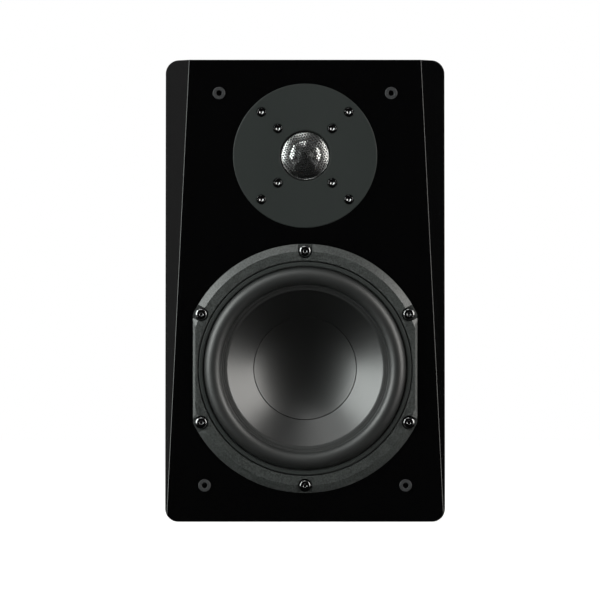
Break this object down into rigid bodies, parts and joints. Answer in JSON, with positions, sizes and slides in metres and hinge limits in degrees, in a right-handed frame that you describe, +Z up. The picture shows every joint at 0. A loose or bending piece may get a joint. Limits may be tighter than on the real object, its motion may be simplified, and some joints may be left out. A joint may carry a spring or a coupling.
{
  "type": "bookshelf speaker",
  "caption": "Gloss black two-way bookshelf loudspeaker: a mid-woofer with concave dust cap, a metal-dome tweeter behind a mesh guard, bevelled front edges, a rear port and binding posts.",
  "frame": {"origin": "middle of the cabinet's underside", "axes": "+X to the speaker's right-hand side as seen from the front, -Y out of the front baffle, +Y out of the back, +Z up"},
  "size_m": [0.203, 0.2457, 0.335],
  "materials": {
    "lacquered_board": "high-gloss black lacquer over fibreboard",
    "bare_board": "sawn medium-density fibreboard",
    "damping_felt": "grey needled polyester felt",
    "black_nylon": "moulded black nylon",
    "cast_frame": "die-cast, fine-textured dark grey paint",
    "trim_metal": "satin black lacquer",
    "surround_rubber": "black rubber, slight sheen",
    "cone_polymer": "mineral-filled polypropylene, satin grey-black",
    "bare_aluminium": "bare",
    "copper_wire": "enamelled copper",
    "spider_cloth": "resin-dipped cotton, corrugated",
    "plated_steel": "zinc plated",
    "ferrite": "sintered ferrite, ground",
    "terminal_board": "phenolic board with plated tabs",
    "gasket_foam": "closed-cell foam",
    "black_screws": "black oxide, oiled",
    "faceplate_paint": "fine-textured dark grey paint",
    "guard_mesh": "perforated steel, satin black",
    "dome_metal": "anodised",
    "tweeter_cloth": "coated textile",
    "port_plastic": "moulded, fine satin grain",
    "terminal_plastic": "moulded, satin",
    "gold_brass": "gold plated",
    "red_knob": "translucent red over a brass core",
    "black_knob": "translucent black over a brass core",
    "capacitor_film": "yellow film wrap, resin ends",
    "resistor_ceramic": "white cement",
    "wire_insulation": "PVC"
  },
  "bodies": {
    "root": {"back_panel": "lacquered_board", "black_post_shaft": "gold_brass", "cabinet_bottom": "lacquered_board", "cabinet_side_left": "lacquered_board", "cabinet_side_right": "lacquered_board", "cabinet_top": "lacquered_board", "crossover_board": "terminal_board", "crossover_capacitors": "capacitor_film", "crossover_inductors": "copper_wire", "crossover_resistors": "resistor_ceramic", "crossover_spacers": "black_nylon", "damping_pad_left": "damping_felt", "damping_pad_right": "damping_felt", "damping_pad_top": "damping_felt", "front_baffle": "lacquered_board", "grille_sockets": "black_nylon", "internal_wiring": "wire_insulation", "port_inner_flare": "port_plastic", "port_tube": "port_plastic", "post_inner_nuts": "gold_brass", "post_insulators": "terminal_plastic", "red_post_shaft": "gold_brass", "terminal_gasket": "gasket_foam", "terminal_plate": "terminal_plastic", "terminal_screws": "black_screws", "tweeter_coupler_ring": "black_nylon", "tweeter_faceplate": "faceplate_paint", "tweeter_gasket": "gasket_foam", "tweeter_guard": "guard_mesh", "tweeter_magnet": "ferrite", "tweeter_motor_screws": "black_screws", "tweeter_mounting_screws": "black_screws", "tweeter_pole_plate": "plated_steel", "tweeter_rear_chamber": "black_nylon", "tweeter_surround": "tweeter_cloth", "tweeter_terminals": "terminal_board", "tweeter_top_plate": "plated_steel", "window_brace": "bare_board", "woofer_basket": "cast_frame", "woofer_gasket": "gasket_foam", "woofer_magnet": "ferrite", "woofer_pole_plate": "plated_steel", "woofer_screws": "black_screws", "woofer_shorting_ring": "bare_aluminium", "woofer_spider": "spider_cloth", "woofer_surround": "surround_rubber", "woofer_terminal_strip": "terminal_board", "woofer_tinsel_leads": "copper_wire", "woofer_top_plate": "plated_steel", "woofer_trim_ring": "trim_metal"},
    "woofer_moving": {"woofer_cone": "cone_polymer", "woofer_dust_cap": "cone_polymer", "woofer_coil_former": "bare_aluminium", "woofer_voice_coil": "copper_wire"},
    "tweeter_moving": {"tweeter_dome": "dome_metal", "tweeter_voice_coil": "copper_wire"},
    "red_washer": {"red_post_washer": "gold_brass"},
    "red_knob": {"red_post_knob": "red_knob"},
    "black_washer": {"black_post_washer": "gold_brass"},
    "black_knob": {"black_post_knob": "black_knob"}
  },
  "joints": [
    {"name": "woofer_stroke", "type": "slide", "parent": "root", "child": "woofer_moving", "axis": [0, -1, 0], "range_m": [-0.006, 0.006], "stiffness_N_per_m": 1100, "deforming": ["woofer_surround", "woofer_spider", "woofer_tinsel_leads"]},
    {"name": "tweeter_stroke", "type": "slide", "parent": "root", "child": "tweeter_moving", "axis": [0, -1, 0], "range_m": [-0.0005, 0.0005], "stiffness_N_per_m": 1500, "deforming": ["tweeter_surround"]},
    {"name": "red_post_travel", "type": "slide", "parent": "root", "child": "red_washer", "axis": [0, 1, 0], "range_m": [-0.0039, 0.003]},
    {"name": "red_post_turn", "type": "hinge", "parent": "red_washer", "child": "red_knob", "pos_m": [-0.016, 0.118, 0.088], "axis": [0, 1, 0], "range_deg": [-1126, 867]},
    {"name": "black_post_travel", "type": "slide", "parent": "root", "child": "black_washer", "axis": [0, 1, 0], "range_m": [-0.0039, 0.003]},
    {"name": "black_post_turn", "type": "hinge", "parent": "black_washer", "child": "black_knob", "pos_m": [0.016, 0.118, 0.088], "axis": [0, 1, 0], "range_deg": [-1126, 867]}
  ],
  "couplings": [
    {"joint": "red_post_turn", "follows": "red_post_travel", "rad_per_m": 5026.5},
    {"joint": "black_post_turn", "follows": "black_post_travel", "rad_per_m": 5026.5}
  ]
}
